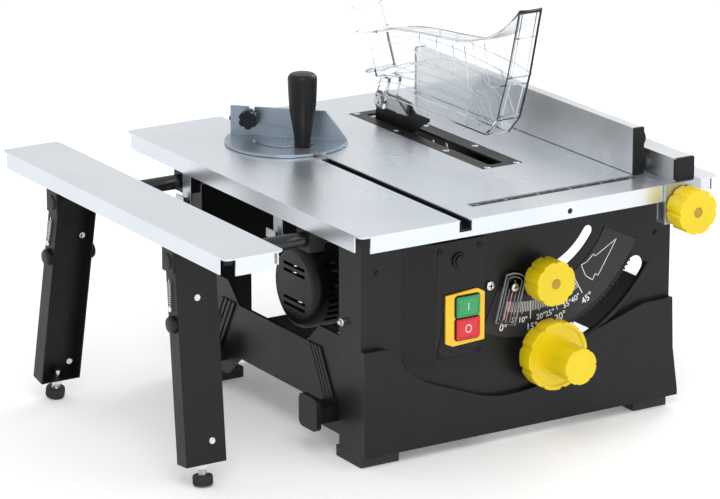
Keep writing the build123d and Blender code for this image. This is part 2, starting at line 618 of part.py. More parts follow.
with BuildPart() as armature:
    rod((68, MOTOR_Y, MOTOR_Z), (CASE_X[0] + 22, MOTOR_Y, MOTOR_Z), 5)
    rod((118, MOTOR_Y, MOTOR_Z), (180, MOTOR_Y, MOTOR_Z), 24.2)
    rod((84, MOTOR_Y, MOTOR_Z), (104, MOTOR_Y, MOTOR_Z), 14)
    toothed(side(CASE_X[0] + 24.5), (MOTOR_Y, MOTOR_Z), 5 * GEAR_MODULE, GEAR_MODULE, 10, 18, MESH + 198)
    rod((CASE_X[0] + 22, MOTOR_Y, MOTOR_Z), (CASE_X[0] + 25, MOTOR_Y, MOTOR_Z), 5)
save(armature, "armature")

with BuildPart() as cooling_fan:
    rod((186, MOTOR_Y, MOTOR_Z), (188, MOTOR_Y, MOTOR_Z), 36)
    for i in range(12):
        with BuildSketch(side(188)):
            with Locations(Location((MOTOR_Y, MOTOR_Z), 30 * i)):
                Polygon((14, -0.8), (36, -0.8), (36, 0.8), (14, 0.8), align=None)
        extrude(amount=12)
    rod((186, MOTOR_Y, MOTOR_Z), (200, MOTOR_Y, MOTOR_Z), 9)
    rod((185, MOTOR_Y, MOTOR_Z), (201, MOTOR_Y, MOTOR_Z), 5.01, mode=Mode.SUBTRACT)
save(cooling_fan, "cooling_fan")

# ---- blade guard --------------------------------------------------------------------------------
GUARD_HALF = 15
GUARD_LOW = 33
PORT_R = 17.5
PORT_TILT = 25
PORT_PLANE = Plane(origin=at(BLADE_X, 407, 80), z_dir=(0, sin(radians(PORT_TILT)), cos(radians(PORT_TILT))))


def guard_outline(inset):
    """Side view of the guard: nose at the front, dipped top, dust port leaning to the back."""
    with BuildLine() as outline:
        nose = Polyline((366 - inset, GUARD_LOW + inset), (162 + inset, GUARD_LOW + inset),
                        (142 + inset, 53 + inset / 2), (123 + inset, 104), (103 + inset, 180 - 2 * inset))
        top = Spline(nose @ 1, (129, 158 - inset), (160, 141 - inset), (201, 128 - inset), (260, 121 - inset),
                     (335, 113 - inset), (376, 103 - inset))
        Polyline(top @ 1, (404 - inset, 97 - inset), (398 - inset, 84), (381 - inset, 46),
                 (366 - inset, GUARD_LOW + inset))
    make_face(outline.line)


with BuildPart() as guard_shell:
    with BuildSketch(side(BLADE_X - GUARD_HALF)):
        guard_outline(0)
    extrude(amount=2 * GUARD_HALF)
    with BuildSketch(PORT_PLANE.offset(-28)):
        Circle(PORT_R + 1)
    extrude(amount=46)
    with BuildSketch(PORT_PLANE.offset(18)):
        Circle(PORT_R)
    extrude(amount=28)
    with BuildSketch(side(BLADE_X - GUARD_HALF + 2)):
        guard_outline(2.2)
    extrude(amount=2 * GUARD_HALF - 4, mode=Mode.SUBTRACT)
    with BuildSketch(PORT_PLANE.offset(-26)):
        Circle(PORT_R - 2)
    extrude(amount=74, mode=Mode.SUBTRACT)
    block((BLADE_X - GUARD_HALF + 2, BLADE_X + GUARD_HALF - 2), (166, 384), (GUARD_LOW - 1, GUARD_LOW + 3),
          mode=Mode.SUBTRACT)
    block((BLADE_X - GUARD_HALF + 2, BLADE_X + GUARD_HALF - 2), (355, 392), (GUARD_LOW - 1, 50),
          mode=Mode.SUBTRACT)
save(guard_shell, "guard_shell")

with BuildPart() as guard_hanger:
    for x in (BLADE_X - 9, BLADE_X + 5.3):
        with BuildSketch(side(x)):
            Polygon((379, 13), (393, 13), (393, 28), (378, 53), (366, 53), (366, 45), align=None)
            with Locations((386, 21)):
                Circle(2.06, mode=Mode.SUBTRACT)
        extrude(amount=3.7)
    block((BLADE_X - GUARD_HALF + 2.02, BLADE_X + GUARD_HALF - 2.02), (366, 378), (50.2, 53))
save(guard_hanger, "guard_hanger")

# ---- rip fence ----------------------------------------------------------------------------------
FENCE_X = (368, 380)
FENCE_Y = (50, 470)
BAR_X = (388, 412)
with BuildPart() as fence_face:
    block(FENCE_X, FENCE_Y, (0.6, 51))
    for z in (10, 38):
        block((FENCE_X[1] - 7, FENCE_X[1]), FENCE_Y, (z - 2.6, z + 2.6), mode=Mode.SUBTRACT)
        block((FENCE_X[1] - 7, FENCE_X[1] - 3), FENCE_Y, (z - 5.5, z + 5.5), mode=Mode.SUBTRACT)
save(fence_face, "fence_face")

with BuildPart() as fence_caps:
    for y in ((FENCE_Y[0] - 3, FENCE_Y[0] - 0.02), (FENCE_Y[1] + 0.02, FENCE_Y[1] + 3)):
        block((FENCE_X[0] - 0.5, FENCE_X[1] + 0.5), y, (0.4, 51.5))
save(fence_caps, "fence_caps")

with BuildPart() as fence_bar:
    block(BAR_X, (4, 470), (1.6, 25.6))
    block((BAR_X[0] + 1.5, BAR_X[1] - 1.5), (3, 471), (3.1, 24.1), mode=Mode.SUBTRACT)
    for y in (70, 380):
        block((FENCE_X[1] - 6.8, FENCE_X[1] - 3.3), (y - 5, y + 5), (5.2, 14.8))
        rod((FENCE_X[1] - 4, y, 10), (BAR_X[0] + 4, y, 10), 2.45)
    for y in ((1, 4), (470, 473)):
        block((BAR_X[0] - 0.3, BAR_X[1] + 0.3), y, (1.55, 25.9))
save(fence_bar, "fence_bar")

with BuildPart() as wing_nuts:
    for y in (70, 380):
        rod((FENCE_X[1] + 0.6, y, 10), (BAR_X[0] - 0.6, y, 10), 5.5)
        block((FENCE_X[1] + 1.5, FENCE_X[1] + 4), (y - 12, y + 12), (7, 13))
        rod((FENCE_X[1], y, 10), (BAR_X[0], y, 10), 2.52, mode=Mode.SUBTRACT)
save(wing_nuts, "wing_nuts")

KNOB_X = 396
KNOB_Z = -26
with BuildPart() as fence_clamp:
    block((372, 418), (-4, -0.4), (-42, 1.5))
    block((372, 418), (-4, 30), (0.4, 1.5))
    block((372, 418), (-4, 12), (-42, -39))
    block((372, 418), (9, 12), (-42, -20))
    rod((KNOB_X, -5, KNOB_Z), (KNOB_X, 0, KNOB_Z), 4.1, mode=Mode.SUBTRACT)
save(fence_clamp, "fence_clamp")

with BuildPart() as fence_knob:
    lobed(front(-6), (KNOB_X, KNOB_Z), 24, 8, 1.6, 24)
    rod((KNOB_X, -6, KNOB_Z), (KNOB_X, -4.4, KNOB_Z), 12)
    rod((KNOB_X, -33, KNOB_Z), (KNOB_X, -28, KNOB_Z), 5.5, mode=Mode.SUBTRACT)
    rod((KNOB_X, -6, KNOB_Z), (KNOB_X, -0.6, KNOB_Z), 4)
save(fence_knob, "fence_knob")

# ---- miter gauge --------------------------------------------------------------------------------
MITER_X = sum(SLOT_X) / 2
MITER_Y = 356
MITER_TURN = -45
HEAD_R = 67
GROOVE_R = 35
with BuildPart() as miter_bar:
    block((SLOT_X[0] + 0.4, SLOT_X[1] - 0.4), (275, 470), (-9.1, -0.4))
    rod((MITER_X, MITER_Y, -0.4), (MITER_X, MITER_Y, 4), 3.95)
    rod((MITER_X, MITER_Y - GROOVE_R, -0.4), (MITER_X, MITER_Y - GROOVE_R, 3.9), 2.9)
    block((MITER_X - 4, MITER_X + 4), (MITER_Y - HEAD_R - 9, MITER_Y - HEAD_R - 1), (-0.4, 6))
save(miter_bar, "miter_bar")

HEAD_TURN = Location((MITER_X, MITER_Y), MITER_TURN)
HEAD_X = (-cos(radians(MITER_TURN)), -sin(radians(MITER_TURN)), 0)
HEAD_Y = (-sin(radians(MITER_TURN)), cos(radians(MITER_TURN)), 0)
fence_plane = Plane(origin=at(MITER_X, MITER_Y, 0), x_dir=HEAD_X, z_dir=HEAD_Y)
groove = CenterArc((0, 0), GROOVE_R, -155, 130)
with BuildPart() as miter_head:
    with BuildSketch(level(0.4)):
        with Locations(HEAD_TURN):
            Circle(HEAD_R)
            with Locations((0, HEAD_R + 12)):
                Rectangle(3 * HEAD_R, 2 * HEAD_R, mode=Mode.SUBTRACT)
            SlotArc(arc=groove, height=6.4, mode=Mode.SUBTRACT)
            Circle(4.05, mode=Mode.SUBTRACT)
    extrude(amount=3)
    with BuildSketch(fence_plane.offset(9)):
        Polygon((65, 0.4), (65, 35), (-42, 35), (-65, 5), (-65, 0.4), align=None)
        with Locations((41, 28)):
            SlotOverall(20, 6, rotation=90, mode=Mode.SUBTRACT)
        with Locations((41, 36)):
            Rectangle(6, 12, mode=Mode.SUBTRACT)
    extrude(amount=3)
save(miter_head, "miter_head")

with BuildPart() as star_knob:
    lobed(fence_plane.offset(-8), (41, 24), 10.5, 6, 1.6, 12)
    with BuildSketch(fence_plane.offset(4)):
        with Locations((41, 24)):
            Circle(5.5)
    extrude(amount=4.7)
    with BuildSketch(fence_plane.offset(8.7)):
        with Locations((41, 24)):
            Circle(2.8)
    extrude(amount=6)
save(star_knob, "star_knob")

with BuildPart() as miter_handle:
    with BuildSketch(Plane(origin=at(MITER_X, MITER_Y - GROOVE_R, 0), x_dir=(1, 0, 0), z_dir=(0, -1, 0))):
        with BuildLine():
            Polyline((3.1, 4.2), (9, 4.2), (9, 8))
            Spline((9, 8), (13.5, 40), (16, 78), tangents=((0.05, 1), (0.02, 1)))
            ThreePointArc((16, 78), (15, 82), (11.5, 84.5))
            Polyline((11.5, 84.5), (0, 85.5), (0, 4.2), (3.1, 4.2))
        make_face()
    revolve(axis=Axis(at(MITER_X, MITER_Y - GROOVE_R, 0), (0, 0, 1)))
save(miter_handle, "miter_handle")

# ---- table extension ----------------------------------------------------------------------------
EXT_Y = (6, TABLE_D)
with BuildPart() as extension_top:
    with BuildSketch(level(-SHEET)):
        with Locations((sum(EXT_X) / 2, sum(EXT_Y) / 2)):
            RectangleRounded(EXT_X[1] - EXT_X[0], EXT_Y[1] - EXT_Y[0], 6)
    extrude(amount=SHEET)
    for y in ((EXT_Y[0], EXT_Y[0] + SHEET), (EXT_Y[1] - SHEET, EXT_Y[1])):
        block((EXT_X[0] + 12, EXT_X[1] - 12), y, (-FLANGE, -SHEET))
    for x in ((EXT_X[0], EXT_X[0] + SHEET), (EXT_X[1] - SHEET, EXT_X[1])):
        block(x, (EXT_Y[0] + 12, EXT_Y[1] - 12), (-FLANGE, -SHEET))
save(extension_top, "extension_top")

with BuildPart() as extension_tubes:
    for y in TUBE_Y:
        rod((-97.5, y, TUBE_Z), (115, y, TUBE_Z), TUBE_R)
        rod((-98, y, TUBE_Z), (116, y, TUBE_Z), TUBE_R - 1.5, mode=Mode.SUBTRACT)
save(extension_tubes, "extension_tubes")

FRONT_LEG_Y = 126
REAR_LEG_Y = 378
with BuildPart() as leg_brackets:
    for y in (FRONT_LEG_Y, REAR_LEG_Y):
        for x in ((EXT_X[0] + SHEET + 0.02, -148.3), (-99.7, -98.2)):
            block(x, (y - 11, y + 11), (LEG_PIVOT_Z - 11, -SHEET - 0.02))
        rod((-148.3, y, LEG_PIVOT_Z), (-99.7, y, LEG_PIVOT_Z), 3.95)
    for y in TUBE_Y:
        block((-96, -85.6), (y - 11, y + 11), (TUBE_Z - 10, -SHEET - 0.02))
        rod((-96, y, TUBE_Z), (-85.6, y, TUBE_Z), TUBE_R + 0.02, mode=Mode.SUBTRACT)
save(leg_brackets, "leg_brackets")


def leg(pivot_y, lean, length, back):
    """Folded channel leg: its web faces away from the table's middle when back is 1, and leans by an angle."""
    frame = Plane(origin=at(0, pivot_y, LEG_PIVOT_Z), x_dir=(1, 0, 0),
                  z_dir=(0, sin(radians(lean)), -cos(radians(lean))))
    with BuildPart() as channel:
        with BuildSketch(frame.offset(-9)):
            with Locations((sum(LEG_X) / 2, 0)):
                Rectangle(LEG_X[1] - LEG_X[0], 20)
            with Locations((sum(LEG_X) / 2, 3 * back)):
                Rectangle(LEG_X[1] - LEG_X[0] - 3, 20, mode=Mode.SUBTRACT)
        extrude(amount=length + 9)
        with BuildSketch(frame.offset(length - SHEET)):
            with Locations((sum(LEG_X) / 2, 0)):
                Rectangle(LEG_X[1] - LEG_X[0], 20)
                Circle(4.05, mode=Mode.SUBTRACT)
        extrude(amount=SHEET)
        rod((LEG_X[0] - 1, pivot_y, LEG_PIVOT_Z), (LEG_X[1] + 1, pivot_y, LEG_PIVOT_Z), 4.02, mode=Mode.SUBTRACT)
    return channel, frame


def leg_foot(frame, length):
    """Levelling foot: threaded stud with a nut, and a round rubber pad."""
    with BuildPart() as foot:
        with BuildSketch(frame.offset(length - 10)):
            with Locations((sum(LEG_X) / 2, 0)):
                Circle(4)
        extrude(amount=24)
        with BuildSketch(frame.offset(length + 0.4)):
            with Locations((sum(LEG_X) / 2, 0)):
                RegularPolygon(7, 6)
        extrude(amount=5)
        with BuildSketch(frame.offset(length + 13)):
            with Locations((sum(LEG_X) / 2, 0)):
                Circle(10)
        extrude(amount=10)
    return foot


FRONT_LEAN = -5
REAR_LEAN = 13
FRONT_LEG_LENGTH = 215
REAR_LEG_LENGTH = 218.9
front_leg, front_frame = leg(FRONT_LEG_Y, FRONT_LEAN, FRONT_LEG_LENGTH, -1)
save(front_leg, "front_leg")
rear_leg, rear_frame = leg(REAR_LEG_Y, REAR_LEAN, REAR_LEG_LENGTH, 1)
save(rear_leg, "rear_leg")
front_foot = leg_foot(front_frame, FRONT_LEG_LENGTH)
save(front_foot, "front_foot")
rear_foot = leg_foot(rear_frame, REAR_LEG_LENGTH)
save(rear_foot, "rear_foot")
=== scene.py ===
"""Looks for the table saw: materials, printed marks, springs, screws and guard detail."""

import math

import bpy
from mathutils import Matrix, Vector


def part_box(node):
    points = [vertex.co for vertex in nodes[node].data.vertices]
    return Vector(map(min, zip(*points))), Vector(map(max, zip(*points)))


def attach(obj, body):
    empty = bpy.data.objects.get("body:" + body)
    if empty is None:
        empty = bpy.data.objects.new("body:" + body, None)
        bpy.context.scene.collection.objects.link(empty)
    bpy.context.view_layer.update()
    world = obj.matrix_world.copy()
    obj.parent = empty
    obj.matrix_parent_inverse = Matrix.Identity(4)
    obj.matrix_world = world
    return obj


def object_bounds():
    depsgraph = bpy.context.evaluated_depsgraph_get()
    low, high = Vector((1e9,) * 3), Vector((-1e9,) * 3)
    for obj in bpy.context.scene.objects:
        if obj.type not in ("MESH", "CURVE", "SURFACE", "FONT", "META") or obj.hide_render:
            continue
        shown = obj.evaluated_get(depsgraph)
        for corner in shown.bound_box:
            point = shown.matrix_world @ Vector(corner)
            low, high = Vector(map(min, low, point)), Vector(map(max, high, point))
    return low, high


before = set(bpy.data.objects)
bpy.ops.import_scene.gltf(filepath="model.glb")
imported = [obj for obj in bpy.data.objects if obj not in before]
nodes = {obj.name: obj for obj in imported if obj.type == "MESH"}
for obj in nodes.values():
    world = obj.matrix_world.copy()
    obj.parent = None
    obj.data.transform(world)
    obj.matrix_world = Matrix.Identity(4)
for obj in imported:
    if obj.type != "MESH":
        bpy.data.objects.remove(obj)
scene = bpy.context.scene
cad_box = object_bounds()

# The table's front left top corner; places below are in millimetres from it: x right, y back, z up.
_top_low, _top_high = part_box("table_top")
CORNER = Vector((_top_low.x, _top_low.y, _top_high.z))


def at(x, y, z):
    """A point in the row frame, in metres, given in millimetres from the table's corner."""
    return CORNER + Vector((x, y, z)) / 1000


# ---- materials ----------------------------------------------------------------------------------
def new_material(name, color, roughness, metallic=0.0, **sockets):
    """A Principled material; returns it with its node tree, shader and object coordinates."""
    material = bpy.data.materials.new(name)
    material.use_nodes = True
    tree = material.node_tree
    shader = tree.nodes["Principled BSDF"]
    shader.inputs["Base Color"].default_value = (*color, 1)
    shader.inputs["Roughness"].default_value = roughness
    shader.inputs["Metallic"].default_value = metallic
    for socket, value in sockets.items():
        shader.inputs[socket.replace("_", " ")].default_value = value
    material.diffuse_color = (*color, 1)
    coords = tree.nodes.new("ShaderNodeTexCoord").outputs["Object"]
    return material, tree, shader, coords


def noise(tree, coords, scale, detail=4.0, stretch=None):
    """A noise texture's factor, in object space, optionally stretched along the axes."""
    if stretch:
        mapping = tree.nodes.new("ShaderNodeMapping")
        mapping.inputs["Scale"].default_value = stretch
        tree.links.new(coords, mapping.inputs["Vector"])
        coords = mapping.outputs["Vector"]
    texture = tree.nodes.new("ShaderNodeTexNoise")
    texture.inputs["Scale"].default_value = scale
    texture.inputs["Detail"].default_value = detail
    tree.links.new(coords, texture.inputs["Vector"])
    return texture.outputs["Fac"]


def spread(tree, factor, low, high, start=0.3, end=0.7):
    """Maps a factor's middle range to low..high."""
    node = tree.nodes.new("ShaderNodeMapRange")
    node.inputs["From Min"].default_value = start
    node.inputs["From Max"].default_value = end
    node.inputs["To Min"].default_value = low
    node.inputs["To Max"].default_value = high
    tree.links.new(factor, node.inputs["Value"])
    return node.outputs["Result"]


def blend_color(tree, factor, first, second):
    """A colour between two, by a factor."""
    node = tree.nodes.new("ShaderNodeMix")
    node.data_type = "RGBA"
    node.inputs[6].default_value = (*first, 1)
    node.inputs[7].default_value = (*second, 1)
    tree.links.new(factor, node.inputs["Factor"])
    return node.outputs[2]


def bump(tree, shader, height, strength, distance=0.0002):
    """Bends the shader's normal by a height."""
    node = tree.nodes.new("ShaderNodeBump")
    node.inputs["Strength"].default_value = strength
    node.inputs["Distance"].default_value = distance
    tree.links.new(height, node.inputs["Height"])
    tree.links.new(node.outputs["Normal"], shader.inputs["Normal"])


def plastic(name, color, roughness, grain=900, depth=0.25, wear=0.12, **sockets):
    """Moulded plastic: fine grain, and slightly lighter and duller scuffs."""
    material, tree, shader, coords = new_material(name, color, roughness, **sockets)
    fine = noise(tree, coords, grain, 2)
    scuff = noise(tree, coords, 24, 8)
    lighter = [min(1.0, c * (1 + wear) + 0.012 * wear) for c in color]
    darker = [c * (1 - 0.6 * wear) for c in color]
    tint = blend_color(tree, spread(tree, scuff, 0, 1), darker, lighter)
    tree.links.new(tint, shader.inputs["Base Color"])
    tree.links.new(spread(tree, scuff, roughness - 0.05, roughness + 0.08), shader.inputs["Roughness"])
    bump(tree, shader, fine, depth)
    return material


def sheet_zinc(name, light, dark, roughness):
    """Galvanised sheet: nearly even, with a fine crystal grain and faint rolling streaks."""
    material, tree, shader, coords = new_material(name, light, roughness, 0.85)
    grain = noise(tree, coords, 420, 3)
    streaks = noise(tree, coords, 14, 3, (1, 0.3, 1))
    cloud = noise(tree, coords, 7, 3)
    tint = blend_color(tree, spread(tree, cloud, 0.15, 0.75), light, dark)
    tree.links.new(tint, shader.inputs["Base Color"])
    tree.links.new(spread(tree, streaks, roughness - 0.03, roughness + 0.05), shader.inputs["Roughness"])
    bump(tree, shader, grain, 0.25, distance=0.00005)
    return material


def metal(name, color, roughness, stretch=(1, 1, 1), scale=300, depth=0.12, metallic=1.0):
    """Machined, drawn or plated metal, with brushing along the axis that is stretched least."""
    material, tree, shader, coords = new_material(name, color, roughness, metallic)
    lines = noise(tree, coords, scale, 3, stretch)
    smudge = noise(tree, coords, 16, 5)
    darker = [c * 0.8 for c in color]
    tint = blend_color(tree, spread(tree, smudge, 0, 1), darker, color)
    tree.links.new(tint, shader.inputs["Base Color"])
    tree.links.new(spread(tree, lines, roughness - 0.06, roughness + 0.09), shader.inputs["Roughness"])
    bump(tree, shader, lines, depth)
    return material


def clear(name, tint, roughness, ior):
    """Clear moulded polycarbonate or acrylic, with a faint waviness."""
    material, tree, shader, coords = new_material(name, tint, roughness)
    shader.inputs["Transmission Weight"].default_value = 1.0
    shader.inputs["IOR"].default_value = ior
    bump(tree, shader, noise(tree, coords, 35, 2), 0.08, distance=0.0003)
    return material


M = {
    "zinc": sheet_zinc("zinc_sheet", (0.78, 0.82, 0.87), (0.69, 0.735, 0.785), 0.27),
    "clamp": sheet_zinc("zinc_bracket", (0.60, 0.63, 0.67), (0.42, 0.45, 0.49), 0.3),
    "gauge": sheet_zinc("zinc_gauge", (0.43, 0.50, 0.56), (0.32, 0.38, 0.44), 0.34),
    "body": plastic("body_panel", (0.007, 0.0073, 0.008), 0.36, grain=1500, depth=0.10,
                    Specular_IOR_Level=0.24),
    # The same black panel plastic as the rear panel, with its base colour raised a little as painted sheen
    # from the skirt's highlights.
    "skirt": plastic("body_skirt_painted_sheen", (0.009, 0.0095, 0.0105), 0.32, grain=1500, depth=0.10,
                     Specular_IOR_Level=0.26),
    "black": plastic("black_plastic", (0.006, 0.006, 0.0065), 0.34, grain=1200, depth=0.12,
                     Specular_IOR_Level=0.28),
    "rubber": plastic("black_rubber", (0.018, 0.018, 0.018), 0.66, grain=1400, depth=0.4, wear=0.3),
    "tube": metal("black_enamel", (0.012, 0.012, 0.013), 0.16, metallic=0.0, depth=0.03),
    "painted": plastic("black_powder_coat", (0.008, 0.0083, 0.009), 0.34, grain=2200, depth=0.2,
                       Specular_IOR_Level=0.25),
    "yellow": plastic("yellow_plastic", (0.80, 0.60, 0.004), 0.32, grain=700, depth=0.05, wear=0.05,
                      Subsurface_Weight=0.04),
    "plug": plastic("amber_plug", (0.46, 0.27, 0.02), 0.42, grain=700, depth=0.05),
    "plate": plastic("switch_yellow", (0.93, 0.55, 0.02), 0.34, grain=900, depth=0.05, wear=0.05),
    "green": plastic("button_green", (0.035, 0.33, 0.12), 0.28, grain=900, depth=0.04, wear=0.05),
    "red": plastic("button_red", (0.68, 0.025, 0.035), 0.28, grain=900, depth=0.04, wear=0.05),
    "mark": plastic("printed_white", (0.85, 0.86, 0.87), 0.5, grain=1500, depth=0.05, wear=0.04),
    "print": plastic("printed_black", (0.007, 0.007, 0.0075), 0.42, grain=1800, depth=0.08,
                     Specular_IOR_Level=0.25),
    "scale": plastic("scale_plate", (0.026, 0.027, 0.030), 0.45, grain=1800, depth=0.08,
                     Specular_IOR_Level=0.3),
    "line": plastic("pointer_line", (0.70, 0.20, 0.24), 0.4, grain=1500, depth=0.05),
    "steel": metal("machined_steel", (0.52, 0.53, 0.55), 0.30, (1, 1, 30)),
    "cast": metal("cast_housing", (0.30, 0.31, 0.33), 0.52, scale=500, depth=0.35),
    "chrome": metal("plated_screw", (0.78, 0.79, 0.80), 0.14, depth=0.03),
    "blade": metal("blade_steel", (0.58, 0.58, 0.60), 0.24, (1, 20, 20)),
    "brass": metal("brass_tip", (0.62, 0.47, 0.24), 0.30),
    "alu": metal("anodised_extrusion", (0.78, 0.80, 0.81), 0.36, (12, 0.4, 12), depth=0.08),
    "guard": clear("clear_guard", (0.97, 0.985, 1.0), 0.03, 1.42),
    "ridge": clear("clear_ridge", (0.97, 0.98, 0.99), 0.18, 1.15),
    # Painted highlight: a grey, half-clear material standing in for the bright edges of the clear pointer
    # window.
    "edge": plastic("window_edge_painted_highlight", (0.42, 0.43, 0.45), 0.18, grain=600, depth=0.03,
                    Transmission_Weight=0.5),
    "window": clear("clear_window", (0.98, 0.93, 0.94), 0.04, 1.2),
}

NODE_LOOK = {
    "zinc": ("table_top", "extension_top"),
    "clamp": ("fence_clamp",),
    "gauge": ("miter_head",),
    "body": ("rear_panel",),
    "skirt": ("front_panel",),
    "black": ("left_stretcher", "right_stretcher", "switch_box", "reset_button", "cord_gland",
              "motor_housing", "motor_cap", "fence_caps", "star_knob", "miter_handle", "cooling_fan",
              "pointer_arm", "wing_nuts", "switch_core"),
    "rubber": ("base_feet", "front_foot", "rear_foot"),
    "tube": ("extension_tubes",),
    "painted": ("slot_channel", "under_fittings", "front_leg", "rear_leg", "leg_brackets", "blade_insert",
                "riving_knife", "tilt_cradle", "lower_shroud", "tilt_rack"),
    "yellow": ("handwheel", "lock_knob", "fence_knob"),
    "plate": ("switch_plate",),
    "green": ("start_button",),
    "red": ("stop_button",),
    "scale": ("tilt_scale",),
    "window": ("tilt_pointer",),
    "steel": ("guide_rods", "lift_screw", "crank_shaft", "bearings", "arbor_shaft", "arbor_gear",
              "blade_flanges", "armature", "guard_bracket", "miter_bar"),
    "cast": ("gear_case", "case_cover"),
    "chrome": ("screws",),
    "blade": ("saw_blade",),
    "alu": ("fence_face", "fence_bar"),
    "guard": ("guard_shell", "guard_hanger"),
}
# How far each node's hard edges are rounded, in millimetres.
SOFT_EDGE = {"handwheel": 0.9, "lock_knob": 0.9, "fence_knob": 0.9, "table_top": 0.6,
             "extension_top": 0.6, "front_panel": 1.6, "rear_panel": 0.5, "switch_box": 1.0,
             "switch_plate": 0.8, "start_button": 1.2, "stop_button": 1.2, "fence_face": 0.4,
             "fence_bar": 0.5, "fence_caps": 0.8, "miter_head": 0.4, "left_stretcher": 1.2,
             "right_stretcher": 1.2, "motor_housing": 0.6, "front_leg": 0.6, "rear_leg": 0.6,
             "base_feet": 1.0, "star_knob": 0.6, "riving_knife": 0.3, "blade_insert": 0.4,
             "gear_case": 1.0, "fence_clamp": 0.4, "extension_tubes": 0.3, "guard_bracket": 0.4,
             "front_foot": 0.6, "rear_foot": 0.6, "under_fittings": 0.4, "screws": 0.25,
             "reset_button": 0.5}


def soften(obj, width):
    """Rounds hard edges by width millimetres, so that they catch light as real ones do."""
    weld = obj.modifiers.new("weld", "WELD")
    weld.merge_threshold = 0.00001
    bevel = obj.modifiers.new("bevel", "BEVEL")
    bevel.width = width / 1000
    bevel.segments = 3
    bevel.limit_method = "ANGLE"
    bevel.angle_limit = math.radians(32)
    bevel.harden_normals = True
    bevel.miter_outer = "MITER_ARC"


for look, names in NODE_LOOK.items():
    for node_name in names:
        obj = nodes[node_name]
        obj.data.materials.clear()
        obj.data.materials.append(M[look])
for node_name, width in SOFT_EDGE.items():
    soften(nodes[node_name], width)


# ---- builders -----------------------------------------------------------------------------------
def add(name, verts, faces, look, body, smooth=False, edge=0.0):
    """A mesh piece from points in the row frame, riding on a body."""
    mesh = bpy.data.meshes.new(name)
    mesh.from_pydata([tuple(v) for v in verts], [], faces)
    mesh.validate()
    mesh.update()
    mesh.materials.append(M[look])
    obj = bpy.data.objects.new(name, mesh)
    scene.collection.objects.link(obj)
    if smooth:
        mesh.shade_smooth()
    if edge:
        soften(obj, edge)
    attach(obj, body)
    return obj


class Shape:
    """Gathers prisms, lathes and tubes into one mesh."""

    def __init__(self):
        self.verts = []
        self.faces = []

    def prism(self, outline, origin, u, v, depth):
        """Extrudes an outline, given along u and v in millimetres, by depth along u x v."""
        u, v = Vector(u).normalized(), Vector(v).normalized()
        w = u.cross(v)
        base = len(self.verts)
        n = len(outline)
        for level in (0, depth):
            self.verts += [origin + (u * a + v * b + w * level) / 1000 for a, b in outline]
        self.faces.append([base + i for i in reversed(range(n))])
        self.faces.append([base + n + i for i in range(n)])
        for i in range(n):
            j = (i + 1) % n
            self.faces.append([base + i, base + j, base + n + j, base + n + i])
        return self

    def lathe(self, profile, origin, axis, steps=48):
        """Turns a profile of (radius, height) points, in millimetres, about an axis."""
        w = Vector(axis).normalized()
        u = w.orthogonal().normalized()
        v = w.cross(u)
        base = len(self.verts)
        n = len(profile)
        for k in range(steps):
            angle = 2 * math.pi * k / steps
            out = u * math.cos(angle) + v * math.sin(angle)
            self.verts += [origin + (out * r + w * h) / 1000 for r, h in profile]
        for k in range(steps):
            a, b = base + k * n, base + (k + 1) % steps * n
            for i in range(n - 1):
                self.faces.append([a + i, b + i, b + i + 1, a + i + 1])
        for i in (0, n - 1):
            if profile[i][0] > 1e-6:
                ring = [base + k * n + i for k in range(steps)]
                self.faces.append(ring if i else ring[::-1])
        return self

    def tube(self, points, radius, steps=10):
        """A round wire through points, in the row frame, with flat ends."""
        base = len(self.verts)
        side = None
        for i, p in enumerate(points):
            ahead = (points[min(i + 1, len(points) - 1)] - points[max(i - 1, 0)]).normalized()
            if side is None:
                side = ahead.orthogonal().normalized()
            side = (side - ahead * side.dot(ahead)).normalized()
            other = ahead.cross(side)
            for k in range(steps):
                angle = 2 * math.pi * k / steps
                self.verts.append(p + (side * math.cos(angle) + other * math.sin(angle)) * radius / 1000)
        for i in range(len(points) - 1):
            for k in range(steps):
                a, b = base + i * steps + k, base + i * steps + (k + 1) % steps
                self.faces.append([a, b, b + steps, a + steps])
        last = base + (len(points) - 1) * steps
        self.faces.append([base + k for k in reversed(range(steps))])
        self.faces.append([last + k for k in range(steps)])
        return self

    def make(self, name, look, body, **more):
        return add(name, self.verts, self.faces, look, body, **more)


def rectangle(x0, x1, y0, y1):
    return [(x0, y0), (x1, y0), (x1, y1), (x0, y1)]


X, Y, Z = Vector((1, 0, 0)), Vector((0, 1, 0)), Vector((0, 0, 1))


def lettering(name, words, size, place, right, up, body, look="mark", depth=0.05):
    """Printed characters as a thin mesh whose reading direction is right and whose top is up."""
    curve = bpy.data.curves.new(name, "FONT")
    curve.body = words
    curve.size = size / 1000
    curve.align_x = "CENTER"
    curve.align_y = "CENTER"
    curve.extrude = depth / 2000
    curve.offset = size * 0.012 / 1000
    source = bpy.data.objects.new(name + "_source", curve)
    scene.collection.objects.link(source)
    bpy.context.view_layer.update()
    mesh = bpy.data.meshes.new_from_object(source.evaluated_get(bpy.context.evaluated_depsgraph_get()))
    bpy.data.objects.remove(source)
    right, up = Vector(right).normalized(), Vector(up).normalized()
    out = right.cross(up)
    turn = Matrix((right, up, out)).transposed().to_4x4()
    mesh.transform(Matrix.Translation(place + out * depth / 2000) @ turn)
    mesh.materials.clear()
    mesh.materials.append(M[look])
    mesh.name = name
    obj = bpy.data.objects.new(name, mesh)
    scene.collection.objects.link(obj)
    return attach(obj, body)


